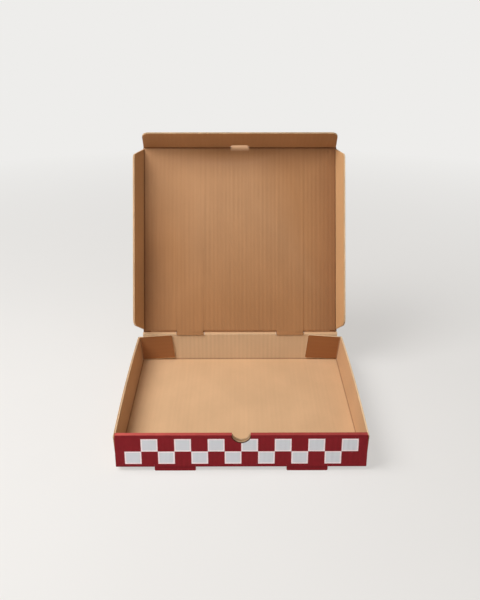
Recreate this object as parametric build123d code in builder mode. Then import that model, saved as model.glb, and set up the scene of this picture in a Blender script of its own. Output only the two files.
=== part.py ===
from build123d import *
import os
from math import cos, hypot, radians, sin, tan

# A folding pizza box of single-wall corrugated board, shown with its lid open.
# Millimetres, +Z up, +Y towards the hinge of the lid.
# The origin is on the underside of the tray's base, at its centre.

# Board
board = 2.5
fold_radius = 1.8
layer_gap = 0.15

# Tray
tray_width = 305.0
tray_depth = 295.0
front_height = 44.7
side_height = 40.5
side_lean_front = 2.0
side_lean_rear = 4.3
side_bow = 1.75
back_width = 299.0
hinge_height = 47.3

# Front wall, rolled over the corner flaps and locked into the base
strip_width = 304.5
inner_panel_width = 297.0
notch_width = 22.5
notch_depth = 9.5
front_ear_centre = 80.3
front_ear_width = 50.3
ear_length = 4.7
ear_corner = 1.5
lock_tab_width = 46.0
lock_tab_length = 4.7
lock_tab_chamfer = 2.0
slot_clearance = 0.4

# Corner flaps, folded in from the ends of the side walls
fold_stub = 2.0
corner_flap_corner = 2.0
rear_flap_length = 49.3
rear_flap_rises = (2.2, 4.3)
front_flap_length = 48.0
front_flap_height = 36.0
front_flap_rises = (1.5, 1.5)

# Lid
lid_width = 297.5
lid_length = 284.8
lid_lean = 22.0
fold_gap = 0.1
lid_ear_centre = 76.75
lid_ear_width = 42.9
ear_clearance = 0.3
thumb_tab_width = 28.5
thumb_tab_length = 8.0
thumb_tab_corner = 5.0

# Flaps of the lid, each with the angle that it is folded up from the lid's plane
flap_setback = 2.9
tuck_depth = 40.0
tuck_inset = 0.5
tuck_taper = 2.2
tuck_corner = 10.0
tuck_fold = 68.0
side_flap_depth = 38.0
side_flap_rear_start = 4.2
side_flap_rear_taper = 12.0
side_flap_rear_corner = 11.0
side_flap_front_gap = 3.0
side_flap_front_taper = 21.5
side_flap_front_corner = 8.0
left_flap_fold = 72.5
right_flap_fold = 76.7

# Places that follow from the sizes above
half_width = tray_width / 2
half_depth = tray_depth / 2
wall_inner_y = half_depth - board
corner_flap_y = wall_inner_y - layer_gap
inner_panel_y = corner_flap_y - board - layer_gap
strip_depth = half_depth - inner_panel_y + board
slot_depth = wall_inner_y - inner_panel_y + board + slot_clearance
panel_bottom = board + layer_gap
notch_radius = ((notch_width / 2) ** 2 + notch_depth**2) / (2 * notch_depth)
lid_notch_depth = hypot(ear_length, board) + ear_clearance
lid_notch_width = lid_ear_width + 2 * ear_clearance
tab_hole_depth = hypot(thumb_tab_length, board) + ear_clearance
tab_hole_width = thumb_tab_width + 2 * ear_clearance

# Directions of the open lid: along its hinge, up the lid, and out of its inner face
across = Vector(1, 0, 0)
lid_up = Vector(0, sin(radians(lid_lean)), cos(radians(lid_lean)))
lid_inward = Vector(0, -cos(radians(lid_lean)), sin(radians(lid_lean)))
hinge_point = Vector(0, half_depth, hinge_height)
lid_plane = Plane(origin=hinge_point, x_dir=across, z_dir=lid_inward)


def side_wall_section(height, lean_front, lean_rear, bow):
    """Plan section of the right side wall, with the rounded folds at its two ends."""
    inner_y = corner_flap_y - board
    stub_x = half_width - board - fold_stub
    middle_x = half_width + (lean_front + lean_rear) / 2 + bow
    front = Vector(half_width + lean_front, -corner_flap_y)
    rear = Vector(half_width + lean_rear, corner_flap_y)
    inner_front = Vector(front.X - board, -inner_y)
    inner_rear = Vector(rear.X - board, inner_y)
    stub_front = Vector(stub_x + lean_front, -inner_y)
    stub_rear = Vector(stub_x + lean_rear, inner_y)
    with BuildSketch(Plane.XY.offset(height)) as section:
        with BuildLine():
            Line((stub_front.X, front.Y), front)
            if bow:
                ThreePointArc(front, (middle_x, 0), rear)
            else:
                Line(front, rear)
            Polyline(rear, (stub_rear.X, rear.Y), stub_rear, inner_rear)
            if bow:
                ThreePointArc(inner_rear, (middle_x - board, 0), inner_front)
            else:
                Line(inner_rear, inner_front)
            Polyline(inner_front, stub_front, (stub_front.X, front.Y))
        make_face()
        outer = section.vertices().filter_by(lambda v: abs(v.Y) > inner_y + board / 2)
        fillet(outer.filter_by(lambda v: v.X > half_width - fold_gap), fold_radius)
    return section.sketch


def corner_flap(rear_y, top, lean, length, rises):
    """Right-hand corner flap with its rear face at rear_y, its edges rising as its wall leans."""
    lower, upper = (Vector(-cos(radians(rise)), sin(radians(rise))) * length for rise in rises)
    fold_bottom = Vector(half_width - board, panel_bottom)
    fold_top = Vector(half_width - board + lean, top)
    with BuildPart() as flap:
        with BuildSketch(Plane.XZ.offset(-rear_y)) as outline:
            with BuildLine():
                Polyline(fold_bottom, fold_top, fold_top + upper, fold_bottom + lower, close=True)
            make_face()
            fillet(outline.vertices().sort_by(Axis.X)[0:2], corner_flap_corner)
        extrude(amount=board)
    return flap.part


with BuildPart() as side_wall:
    # Right side wall, leaning outwards, with a corner flap folded in from each end
    loft(
        [
            side_wall_section(board, 0, 0, 0),
            side_wall_section(side_height, side_lean_front, side_lean_rear, side_bow),
        ],
        ruled=True,
    )
    add(
        corner_flap(corner_flap_y, side_height, side_lean_rear, rear_flap_length, rear_flap_rises)
    )
    front_flap_y = board - corner_flap_y
    front_flap_lean = side_lean_front * front_flap_height / side_height
    add(
        corner_flap(
            front_flap_y, front_flap_height, front_flap_lean, front_flap_length, front_flap_rises
        )
    )

with BuildPart() as tray:
    # Base, with a rounded fold along each of its four sides
    with BuildSketch():
        Rectangle(tray_width, tray_depth)
    extrude(amount=board)
    fillet(tray.edges().group_by(Axis.Z)[0], fold_radius)

    # Outer layer of the front wall
    with BuildSketch(Plane.YZ) as outer_layer:
        with Locations((-half_depth, board)):
            Rectangle(board, front_height - board, align=(Align.MIN, Align.MIN))
        fillet(outer_layer.vertices().group_by(Axis.Y)[-1].sort_by(Axis.X)[0], fold_radius)
    extrude(amount=half_width, both=True)

    # Top strip and inner panel, which roll over the corner flaps
    for width, lowest in ((strip_width, front_height - board), (inner_panel_width, panel_bottom)):
        with BuildSketch(Plane.YZ) as roll:
            with Locations((-half_depth, front_height)):
                Rectangle(strip_depth, board, align=(Align.MIN, Align.MAX))
            with Locations((-inner_panel_y, lowest)):
                Rectangle(board, front_height - lowest, align=(Align.MIN, Align.MIN))
            fillet(roll.vertices().group_by(Axis.Y)[-1], fold_radius)
        extrude(amount=width / 2, both=True)

    # Back wall, mitred along the hinge of the lid and notched for the lid's ears
    with BuildSketch(Plane.YZ):
        with BuildLine():
            Polyline(
                (wall_inner_y, board),
                (half_depth, board),
                (half_depth, hinge_height - fold_gap),
                (wall_inner_y, hinge_height - fold_gap - board),
                close=True,
            )
        make_face()
    extrude(amount=back_width / 2, both=True)
    with BuildSketch(Plane.XZ.offset(-half_depth)):
        with Locations((-lid_ear_centre, hinge_height), (lid_ear_centre, hinge_height)):
            Rectangle(lid_notch_width, 2 * lid_notch_depth)
    extrude(amount=board, mode=Mode.SUBTRACT)

    # The two side walls
    add(side_wall.part)
    add(mirror(side_wall.part, about=Plane.YZ, mode=Mode.PRIVATE))

    # Slots in the base, and the ears that their cutting leaves on the front wall
    with BuildSketch():
        with Locations((-front_ear_centre, -wall_inner_y), (front_ear_centre, -wall_inner_y)):
            Rectangle(front_ear_width, slot_depth, align=(Align.CENTER, Align.MIN))
    extrude(amount=board, mode=Mode.SUBTRACT)
    with BuildSketch(Plane.XZ.offset(wall_inner_y)) as ears:
        with Locations((-front_ear_centre, board), (front_ear_centre, board)):
            Rectangle(front_ear_width, ear_length + board, align=(Align.CENTER, Align.MAX))
        fillet(ears.vertices().group_by(Axis.Y)[0], ear_corner)
    extrude(amount=board)

    # Lock tabs, which the inner panel pushes down into the slots
    with BuildSketch(Plane.XZ.offset(inner_panel_y - board)) as lock_tabs:
        with Locations((-front_ear_centre, panel_bottom), (front_ear_centre, panel_bottom)):
            Rectangle(lock_tab_width, lock_tab_length, align=(Align.CENTER, Align.MAX))
        chamfer(lock_tabs.vertices().group_by(Axis.Y)[0], lock_tab_chamfer)
    extrude(amount=board)

    # Thumb notch through all layers of the front wall
    with BuildSketch(Plane.XZ.offset(half_depth + board)):
        with Locations((0, front_height + notch_radius - notch_depth)):
            Circle(notch_radius)
    extrude(amount=-strip_depth - 2 * board, mode=Mode.SUBTRACT)

with BuildPart() as lid:
    # Panel, mitred all round its inner face for the folds
    with BuildSketch(lid_plane):
        with Locations((0, fold_gap)):
            Rectangle(
                lid_width - 2 * fold_gap, lid_length - 2 * fold_gap, align=(Align.CENTER, Align.MIN)
            )
    extrude(amount=board, taper=45)

    # Ears that stand in the notches of the back wall
    with BuildSketch(lid_plane) as lid_ears:
        with Locations((-lid_ear_centre, -ear_length), (lid_ear_centre, -ear_length)):
            Rectangle(lid_ear_width, ear_length + 2 * board, align=(Align.CENTER, Align.MIN))
        fillet(lid_ears.vertices().group_by(Axis.Y)[0], ear_corner)
    extrude(amount=board)

    # Thumb tab, cut free of the front flap and left in the lid's plane
    with BuildSketch(lid_plane):
        with Locations((0, lid_length + thumb_tab_length)):
            RectangleRounded(
                thumb_tab_width,
                thumb_tab_length + 2 * board + 2 * thumb_tab_corner,
                thumb_tab_corner,
                align=(Align.CENTER, Align.MAX),
            )
    extrude(amount=board)


def fold_wedge(fold_plane, length):
    """Wedge that sets a flap's inner face back from its fold, the x axis of fold_plane."""
    cross = Plane(origin=fold_plane.origin, x_dir=fold_plane.y_dir, z_dir=fold_plane.x_dir)
    with BuildPart() as wedge:
        with BuildSketch(cross):
            with BuildLine():
                Polyline(
                    (fold_gap, -board),
                    (fold_gap, 0),
                    (fold_gap + 2 * flap_setback, 2 * board),
                    (-board, 2 * board),
                    (-board, -board),
                    close=True,
                )
            make_face()
        extrude(amount=length, both=True)
    return wedge.part


def side_flap(side, fold):
    """Side flap of the lid: side is 1 on the right and -1 on the left."""
    fold_plane = Plane(
        origin=hinge_point + across * (side * lid_width / 2),
        x_dir=lid_up * -side,
        z_dir=lid_inward * cos(radians(fold)) - across * (side * sin(radians(fold))),
    )
    rear_end = side_flap_rear_start + side_flap_depth * tan(radians(side_flap_rear_taper))
    front_start = lid_length - side_flap_front_gap
    front_end = front_start - side_flap_depth * tan(radians(side_flap_front_taper))
    with BuildPart() as flap:
        with BuildSketch(fold_plane) as outline:
            with BuildLine():
                Polyline(
                    (-side * side_flap_rear_start, 0),
                    (-side * front_start, 0),
                    (-side * front_end, side_flap_depth),
                    (-side * rear_end, side_flap_depth),
                    close=True,
                )
            make_face()
            rear_tip, front_tip = (
                outline.vertices().group_by(Axis.Y)[-1].sort_by(lambda v: abs(v.X))
            )
            fillet(rear_tip, side_flap_rear_corner)
            fillet(front_tip, side_flap_front_corner)
        extrude(amount=board)
        add(fold_wedge(fold_plane, lid_length), mode=Mode.SUBTRACT)
    return flap.part


def front_flap():
    """Front flap of the lid, with the hole that the thumb tab was cut from."""
    fold_plane = Plane(
        origin=hinge_point + lid_up * lid_length,
        x_dir=across,
        z_dir=lid_inward * cos(radians(tuck_fold)) - lid_up * sin(radians(tuck_fold)),
    )
    root_x = lid_width / 2 - tuck_inset
    tip_x = root_x - tuck_depth * tan(radians(tuck_taper))
    with BuildPart() as flap:
        with BuildSketch(fold_plane) as outline:
            with BuildLine():
                Polyline((-root_x, 0), (root_x, 0), (tip_x, tuck_depth), (-tip_x, tuck_depth), close=True)
            make_face()
            fillet(outline.vertices().group_by(Axis.Y)[-1], tuck_corner)
            with Locations((0, tab_hole_depth)):
                RectangleRounded(
                    tab_hole_width,
                    2 * tab_hole_depth + thumb_tab_corner,
                    thumb_tab_corner,
                    align=(Align.CENTER, Align.MAX),
                    mode=Mode.SUBTRACT,
                )
        extrude(amount=board)
        add(fold_wedge(fold_plane, lid_width), mode=Mode.SUBTRACT)
    return flap.part


with BuildPart() as lid_left_flap:
    add(side_flap(-1, left_flap_fold))

with BuildPart() as lid_right_flap:
    add(side_flap(1, right_flap_fold))

with BuildPart() as lid_front_flap:
    add(front_flap())

os.makedirs("parts", exist_ok=True)
tray.part.label = "tray"
lid.part.label = "lid"
lid_left_flap.part.label = "lid_left_flap"
lid_right_flap.part.label = "lid_right_flap"
lid_front_flap.part.label = "lid_front_flap"
for piece in (tray.part, lid.part, lid_left_flap.part, lid_right_flap.part, lid_front_flap.part):
    export_step(piece, f"parts/{piece.label}.step")
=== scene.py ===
"""Dressed model of a folding pizza box: each panel of board is cut flat, fluted and folded up.

Sizes in the classes are millimetres, and the meshes are in metres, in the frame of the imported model:
+Z up, +Y towards the hinge of the lid, origin under the middle of the base. Flat board is described
by u across its flutes, v along them, and n from its outer face to its inner face.
"""

import logging
import math
from collections.abc import Callable, Iterable, Sequence
from dataclasses import dataclass, field
from enum import Enum
from typing import ClassVar

import bmesh
import bpy
from mathutils import Matrix, Vector


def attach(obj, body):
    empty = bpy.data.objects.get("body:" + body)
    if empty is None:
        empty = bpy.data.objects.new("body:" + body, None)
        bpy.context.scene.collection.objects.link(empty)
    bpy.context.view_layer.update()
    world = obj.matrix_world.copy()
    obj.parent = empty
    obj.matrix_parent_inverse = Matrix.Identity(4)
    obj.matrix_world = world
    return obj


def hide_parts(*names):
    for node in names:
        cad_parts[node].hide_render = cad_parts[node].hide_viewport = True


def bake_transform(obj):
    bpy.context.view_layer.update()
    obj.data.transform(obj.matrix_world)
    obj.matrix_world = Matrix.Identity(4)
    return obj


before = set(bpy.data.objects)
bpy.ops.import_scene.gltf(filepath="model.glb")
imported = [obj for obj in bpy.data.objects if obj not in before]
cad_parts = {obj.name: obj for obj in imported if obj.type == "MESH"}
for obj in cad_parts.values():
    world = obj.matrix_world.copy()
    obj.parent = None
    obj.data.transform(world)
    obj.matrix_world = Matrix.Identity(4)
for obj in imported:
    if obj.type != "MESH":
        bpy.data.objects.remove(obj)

LOG = logging.getLogger("pizza_box")
MM = 0.001
# Decimals to which places on the flat board are told apart
DIGITS = 4
Point = tuple[float, float]
Colour = tuple[float, float, float, float]
Inputs = dict[str | int, object]
Place = Callable[[float, float, float], Vector]
Share = Callable[[float, float], float]
Depths = Callable[[float], Point]
Cells = tuple[list[Point], list[list[int]]]
Papers = Sequence[bpy.types.Material]

# Sizes that more than one piece or finish needs
TRAY_DEPTH = 295.0
HINGE_HEIGHT = 47.3
LID_WIDTH = 297.5
LID_LENGTH = 284.8
WALL_EAR_CENTRE = 80.3
LID_EAR_CENTRE = 76.75
NOTCH_HEIGHT = 46.91
FLUTE_PITCH = 6.3
FOLD_GAP = 0.1


class Face(Enum):
    """The parts of a fluted sheet that take a finish of their own."""

    OUTER = 0
    INNER = 1
    CORE = 2
    CUT = 3


def clamp(value: float, low: float = 0.0, high: float = 1.0) -> float:
    """Return value, held between low and high."""
    return max(low, min(high, value))


def ease(value: float) -> float:
    """Return a smooth step from 0 to 1 for a value from 0 to 1."""
    value = clamp(value)
    return value * value * (3 - 2 * value)


def both_ways(values: Iterable[float]) -> list[float]:
    """Return each value and its opposite."""
    return [way * value for value in values for way in (1, -1)]


def arc(centre: Point, radius: float, first: float, last: float, steps: int) -> list[Point]:
    """Return points along an arc.

    Args:
        centre: Centre of the arc.
        radius: Its radius.
        first: Angle of its first point in degrees.
        last: Angle of its last point in degrees.
        steps: Number of straight pieces.

    Returns:
        The points, ends included.
    """
    angles = [math.radians(first + (last - first) * k / steps) for k in range(steps + 1)]
    return [(centre[0] + radius * math.cos(a), centre[1] + radius * math.sin(a)) for a in angles]


def round_corners(run: Sequence[Point], radii: Sequence[float], steps: int) -> list[Point]:
    """Return the arcs that round the inner corners of a run of points.

    Args:
        run: The run, whose first and last points only give directions.
        radii: Radius at each inner corner.
        steps: Number of straight pieces in each arc.

    Returns:
        The points of the arcs, in the order of the run.
    """
    points = []
    for before, corner, after, radius in zip(run, run[1:], run[2:], radii):
        here = Vector(corner)
        back = (Vector(before) - here).normalized()
        on = (Vector(after) - here).normalized()
        half = back.angle(on) / 2
        reach = radius / math.tan(half)
        centre = here + (back + on).normalized() * radius / math.sin(half)
        start = here + back * reach - centre
        turn = start.angle_signed(here + on * reach - centre)
        for k in range(steps + 1):
            points.append(tuple(centre + Matrix.Rotation(-turn * k / steps, 2) @ start))
    return points


@dataclass(frozen=True)
class Board:
    """Single-wall board: two liners and a wavy core between them."""

    thickness: float = 2.5
    liner: float = 0.3
    core: float = 0.22
    glue_bite: float = 0.03
    pitch: float = FLUTE_PITCH
    samples: int = 6
    crush_steps: tuple[float, ...] = (0.5, 1.7, 3.0)

    @property
    def crush_reach(self) -> float:
        """Return how far from a crease the board is crushed."""
        return self.crush_steps[-1]

    def squeeze(self, distance: float) -> float:
        """Return the share of its thickness that the board keeps near a crease, as in a mitre."""
        return clamp(distance / self.crush_reach)

    def flute_lines(self, low: float, high: float) -> list[float]:
        """Return the places across the board, from low to high, that carry the core's wave."""
        step = self.pitch / self.samples
        return [k * step for k in range(math.ceil(low / step), math.floor(high / step) + 1)]

    def core_depths(self, u: float) -> Point:
        """Return the depths of the core's two sides at a place across the flutes.

        Args:
            u: Place across the flutes.

        Returns:
            Depths of the core's outer and inner side.
        """
        swing = (self.thickness - self.core) / 2 - self.liner + self.glue_bite
        middle = self.thickness / 2 + swing * math.sin(2 * math.pi * u / self.pitch)
        return middle - self.core / 2, middle + self.core / 2


@dataclass
class Blank:
    """A flat piece of board: closed outlines, of which the first is the outside and the rest are holes."""

    outlines: list[list[Point]]
    rows: list[float]
    columns: list[float] = field(default_factory=list)

    def span(self) -> Point:
        """Return the lowest and highest u of the outline."""
        across = [point[0] for point in self.outlines[0]]
        return min(across), max(across)

    def cells(self, columns: Iterable[float]) -> Cells:
        """Cut the blank into a grid that follows its outlines.

        Args:
            columns: Places across the blank at which it is cut from end to end.

        Returns:
            The grid's points and its faces, each wound anticlockwise.
        """
        low, high = self.span()
        edges = []
        stations = {round(u, DIGITS) for u in columns if low < u < high}
        rows = {round(v, DIGITS) for v in self.rows}
        for outline in self.outlines:
            loop = [(round(u, DIGITS), round(v, DIGITS)) for u, v in outline]
            for start, end in zip(loop, loop[1:] + loop[:1]):
                stations.add(start[0])
                if start[0] == end[0]:
                    rows |= {start[1], end[1]}
                else:
                    edges.append(sorted((start, end)))
        cuts = [-math.inf, *sorted(rows), math.inf]
        stations = sorted(stations)
        points: list[Point] = []
        index: dict[Point, int] = {}
        faces = []
        for left, right in zip(stations, stations[1:]):
            middle = (left + right) / 2
            crossing = []
            for start, end in edges:
                if start[0] < middle < end[0]:
                    slope = (end[1] - start[1]) / (end[0] - start[0])
                    crossing.append([start[1] + slope * (u - start[0]) for u in (middle, left, right)])
            crossing.sort()
            for lower, upper in zip(crossing[::2], crossing[1::2]):
                for below, above in zip(cuts, cuts[1:]):
                    face = []
                    corners = ((left, below, 1), (right, below, 2), (right, above, 2), (left, above, 1))
                    for u, v, side in corners:
                        v = clamp(v, lower[side], upper[side])
                        key = (u, round(v, DIGITS))
                        if key not in index:
                            index[key] = len(points)
                            points.append((u, v))
                        if index[key] not in face:
                            face.append(index[key])
                    if len(face) > 2:
                        faces.append(face)
        return points, faces


@dataclass
class FoldedProfile:
    """Flat panels in a row, joined by right-angled folds and drawn along their outer face."""

    corners: list[Point]
    start: float = 0.0
    outer_radius: float = 1.8
    inner_radius: float = 0.5
    settle: float = 6.0

    def __post_init__(self) -> None:
        """Work out where each panel starts and which way it runs."""
        points = [Vector(corner) for corner in self.corners]
        self.runs = [after - before for before, after in zip(points, points[1:])]
        self.ways = [run.normalized() for run in self.runs]
        self.inward = [*self.ways[1:], -self.ways[-2]]
        self.starts = [self.start]
        for run in self.runs:
            self.starts.append(self.starts[-1] + run.length)
        self.folds = self.starts[1:-1]

    def rows(self, steps: int = 4) -> list[float]:
        """Return the lines that a sheet needs to follow the folds.

        Args:
            steps: Number of straight pieces in each fold.

        Returns:
            Places along the flat sheet.
        """
        radius = self.outer_radius
        offsets = [radius * (2 * k / steps - 1) for k in range(steps + 1)]
        offsets += [-radius - self.settle, radius + self.settle]
        return [fold + offset for fold in self.folds for offset in offsets]

    def point(self, s: float, n: float) -> Vector:
        """Return where a point of the sheet lies.

        Args:
            s: Place along the flat sheet.
            n: Depth below the outer face.

        Returns:
            The point in the plane of the profile.
        """
        radius = max(self.outer_radius - n, self.inner_radius)
        inset = n + radius - self.outer_radius
        k = sum(1 for fold in self.folds if s >= fold)
        ends = []
        if k > 0:
            ends.append((k, s - self.starts[k], 1))
        if k < len(self.folds):
            ends.append((k + 1, self.starts[k + 1] - s, -1))
        along = s - self.starts[k]
        flat = self.runs[k].length - self.outer_radius * len(ends)
        settle = min(self.settle, flat / max(1, len(ends)))
        for corner, distance, way in ends:
            if distance < self.outer_radius:
                turn = (distance * way + self.outer_radius) / (2 * self.outer_radius) * math.pi / 2
                first = self.inward[corner - 1]
                second = self.inward[corner]
                centre = Vector(self.corners[corner]) + (n + radius) * (first + second)
                return centre - radius * (first * math.cos(turn) + second * math.sin(turn))
            along += way * inset * max(0.0, 1 - (distance - self.outer_radius) / settle)
        return Vector(self.corners[k]) + self.ways[k] * along + self.inward[k] * n


@dataclass(frozen=True)
class Grain:
    """A noise and what it does: the tones that it gives over a span of its values."""

    stretch: tuple[float, float, float]
    detail: float
    rough: float
    span: Point = (0.3, 0.7)
    tones: Point = (0.94, 1.06)


class Nodes:
    """A node tree and short calls that add to it."""

    def __init__(self, tree: bpy.types.NodeTree) -> None:
        """Keep the tree that the nodes go into."""
        self.tree = tree

    def put(self, target: bpy.types.NodeSocket, value: object) -> None:
        """Link a value to an input, or set the input to a number or colour.

        Args:
            target: The input.
            value: A value of the tree, a number or a colour.
        """
        source = value.socket if isinstance(value, Signal) else value
        if isinstance(source, bpy.types.NodeSocket):
            self.tree.links.new(source, target)
        else:
            target.default_value = source

    def add(self, kind: str, inputs: Inputs, **settings: object) -> bpy.types.Node:
        """Add a node.

        Args:
            kind: Kind of the node.
            inputs: Values of its inputs, by name or number.
            settings: Its properties.

        Returns:
            The new node.
        """
        node = self.tree.nodes.new(kind)
        for key, value in settings.items():
            setattr(node, key, value)
        for key, value in inputs.items():
            self.put(node.inputs[key], value)
        return node

    def signal(self, kind: str, inputs: Inputs, output: str | int = 0, **settings: object) -> "Signal":
        """Add a node as add does, and return what one of its outputs gives."""
        return Signal(self, self.add(kind, inputs, **settings).outputs[output])

    def math(self, operation: str, *values: object) -> "Signal":
        """Add a Math node and return its result."""
        return self.signal("ShaderNodeMath", dict(enumerate(values)), operation=operation)

    def mix(self, factor: object, first: object, second: object, blend: str = "MIX") -> "Signal":
        """Mix two colours and return the result."""
        # The colours of a Mix node are its inputs 6 and 7, and the mixed colour is its output 2
        inputs = {0: factor, 6: first, 7: second}
        return self.signal("ShaderNodeMix", inputs, 2, data_type="RGBA", blend_type=blend)

    def scale(self, vector: object, factor: object) -> "Signal":
        """Multiply a vector or a colour by a number and return the result."""
        inputs = {0: vector[:3] if isinstance(vector, tuple) else vector, "Scale": factor}
        return self.signal("ShaderNodeVectorMath", inputs, operation="SCALE")

    def noise(self, place: object, grain: Grain) -> "Signal":
        """Add noise.

        Args:
            place: Coordinates.
            grain: How many features the noise has in a unit along each axis, and how fine it is.

        Returns:
            The noise from 0 to 1.
        """
        stretched = self.signal("ShaderNodeMapping", {"Vector": place, "Scale": grain.stretch})
        inputs = {"Vector": stretched, "Scale": 1.0, "Detail": grain.detail, "Roughness": grain.rough}
        return self.signal("ShaderNodeTexNoise", inputs, "Fac")

    def tones(self, place: object, grain: Grain) -> "Signal":
        """Add noise and return its tones."""
        return self.noise(place, grain).spread(*grain.span, *grain.tones)

    def show_to_camera(self, first: object, second: object, share: float = 1.0) -> None:
        """Make the surface one shader for light, and another where it is seen or mirrored.

        Args:
            first: What lights the box.
            second: What is seen.
            share: How much of the second there is where it is seen.
        """
        path = self.add("ShaderNodeLightPath", {}).outputs
        seen = self.math("MAXIMUM", path["Is Camera Ray"], path["Is Glossy Ray"]) * share
        both = self.signal("ShaderNodeMixShader", {0: seen, 1: first, 2: second})
        outlets = [node for node in self.tree.nodes if node.type in ("OUTPUT_MATERIAL", "OUTPUT_WORLD")]
        self.put(outlets[0].inputs["Surface"], both)


@dataclass(frozen=True)
class Signal:
    """A value that nodes work out for each point, and the sums that a finish does with it."""

    nodes: Nodes
    socket: bpy.types.NodeSocket

    def __add__(self, other: object) -> "Signal":
        """Return the sum."""
        return self.nodes.math("ADD", self, other)

    def __sub__(self, other: object) -> "Signal":
        """Return the difference."""
        return self.nodes.math("SUBTRACT", self, other)

    def __rsub__(self, other: object) -> "Signal":
        """Return the difference from a number."""
        return self.nodes.math("SUBTRACT", other, self)

    def __mul__(self, other: object) -> "Signal":
        """Return the product."""
        return self.nodes.math("MULTIPLY", self, other)

    def __pow__(self, power: float) -> "Signal":
        """Return a power."""
        return self.nodes.math("POWER", self, power)

    def __abs__(self) -> "Signal":
        """Return the value without its sign."""
        return self.nodes.math("ABSOLUTE", self)

    def highest(self, other: "Signal") -> "Signal":
        """Return the higher of two values."""
        return self.nodes.math("MAXIMUM", self, other)

    def below(self, limit: float) -> "Signal":
        """Return 1 below a limit, and 0 elsewhere."""
        return self.nodes.math("LESS_THAN", self, limit)

    def within(self, low: float, high: float) -> "Signal":
        """Return 1 between two limits, and 0 elsewhere."""
        return self.nodes.math("GREATER_THAN", self, low) * self.below(high)

    def spread(self, low: float, high: float, to_low: float = 0.0, to_high: float = 1.0) -> "Signal":
        """Map the value from one range to another and hold it there."""
        inputs = dict(enumerate((self, low, high, to_low, to_high)))
        return self.nodes.signal("ShaderNodeMapRange", inputs)


class NodeMaterial(Nodes):
    """A node material."""

    def __init__(self, name: str, roughness: float, specular: float) -> None:
        """Start a material with the settings that are the same all over its surface.

        Args:
            name: Name of the material.
            roughness: Roughness of its surface.
            specular: Strength of its gloss.
        """
        self.material = bpy.data.materials.new(name)
        self.material.use_nodes = True
        super().__init__(self.material.node_tree)
        self.shader = self.tree.nodes["Principled BSDF"]
        self.put(self.shader.inputs["Roughness"], roughness)
        self.put(self.shader.inputs["Specular IOR Level"], specular)

    def flat_board(self) -> tuple[Signal, Signal, Signal]:
        """Find where a point lies on the flat board, in millimetres.

        Returns:
            The place across the flutes, the place along them, and both as a vector.
        """
        flat = self.scale(self.signal("ShaderNodeUVMap", {}, uv_map="flat"), 1 / MM)
        parts = self.add("ShaderNodeSeparateXYZ", {0: flat}).outputs
        return Signal(self, parts[0]), Signal(self, parts[1]), flat

    def attribute(self, name: str) -> Signal:
        """Return a value that the mesh holds at each vertex."""
        return self.signal("ShaderNodeAttribute", {}, "Fac", attribute_name=name)

    def finish(self, colour: object, height: object, depth: float) -> bpy.types.Material:
        """Finish the surface.

        Args:
            colour: Its colour.
            height: Its relief from 0 to 1.
            depth: What a relief of 1 is in metres.

        Returns:
            The finished material.
        """
        inputs = {"Strength": 1.0, "Distance": depth, "Height": height}
        self.put(self.shader.inputs["Normal"], self.signal("ShaderNodeBump", inputs))
        self.put(self.shader.inputs["Base Color"], colour)
        return self.material


def colour(red: int, green: int, blue: int) -> Colour:
    """Return a colour given in 8-bit values as linear light.

    Args:
        red: Red from 0 to 255.
        green: Green from 0 to 255.
        blue: Blue from 0 to 255.

    Returns:
        The colour in linear light.
    """
    shares = [value / 255 for value in (red, green, blue)]
    # The numbers are those of the sRGB curve
    linear = [share / 12.92 if share <= 0.04045 else ((share + 0.055) / 1.055) ** 2.4 for share in shares]
    return *linear, 1.0


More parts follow.
